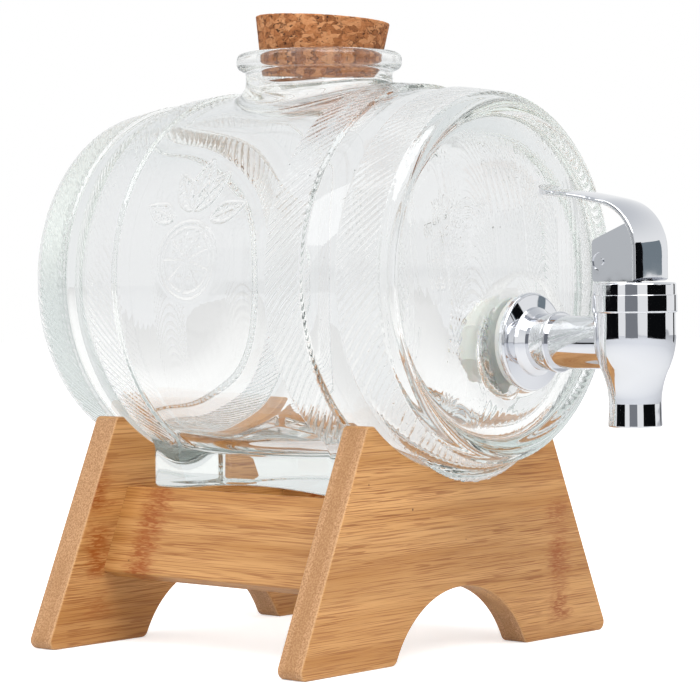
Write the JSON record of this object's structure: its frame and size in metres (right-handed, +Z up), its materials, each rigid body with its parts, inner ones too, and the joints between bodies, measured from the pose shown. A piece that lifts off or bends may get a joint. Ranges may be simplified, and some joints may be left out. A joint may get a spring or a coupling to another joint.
{
  "type": "cocktail dispenser",
  "caption": "Glass barrel drink dispenser with a cork stopper and a chrome lever tap, lying in a bamboo stand.",
  "frame": {"origin": "on the surface the stand rests on, under the middle of the whole object's bounding box", "axes": "+Z up, +Y along the barrel from the tap to the rear head, +X to the right seen from the tap"},
  "size_m": [0.1398, 0.2078, 0.1912],
  "materials": {
    "bamboo": "satin lacquered laminated bamboo",
    "clear_glass": "clear moulded soda-lime glass",
    "cork": "agglomerated cork, sanded",
    "chrome_plated": "bright chrome on moulded ABS",
    "silicone": "translucent moulded silicone",
    "nylon": "natural moulded nylon",
    "stainless": "drawn stainless steel"
  },
  "bodies": {
    "stand": {"front_board": "bamboo", "rear_board": "bamboo", "left_stretcher": "bamboo", "right_stretcher": "bamboo", "front_dowels": "bamboo", "rear_dowels": "bamboo"},
    "barrel": {"glass_barrel": "clear_glass", "tap_tail": "chrome_plated", "tap_body": "chrome_plated", "flange_gasket": "silicone", "inner_washer": "silicone", "lock_nut": "nylon", "bonnet": "chrome_plated", "bonnet_washer": "silicone", "stem_o_ring": "silicone", "arm_o_ring": "silicone"},
    "cork": {"cork_stopper": "cork"},
    "stem": {"valve_stem": "stainless", "seat_cup": "silicone", "stem_spring": "stainless"},
    "lever": {"lever_handle": "chrome_plated", "lever_pin": "stainless"}
  },
  "joints": [
    {"name": "barrel_lift", "type": "slide", "parent": "stand", "child": "barrel", "axis": [0, 0, 1], "range_m": [0, 0.13]},
    {"name": "cork_lift", "type": "slide", "parent": "barrel", "child": "cork", "axis": [0, 0, 1], "range_m": [0, 0.05]},
    {"name": "stem_lift", "type": "slide", "parent": "barrel", "child": "stem", "axis": [0, 0, 1], "range_m": [0, 0.00267], "deforming": ["stem_spring"]},
    {"name": "lever_pull", "type": "hinge", "parent": "stem", "child": "lever", "pos_m": [0, -0.09205, 0.1126], "axis": [1, 0, 0], "range_deg": [0, 40], "stiffness_Nm_per_rad": 0.02, "springref_deg": -114.59}
  ],
  "couplings": [
    {"joint": "stem_lift", "follows": "lever_pull", "m_per_rad": 0.0038}
  ]
}
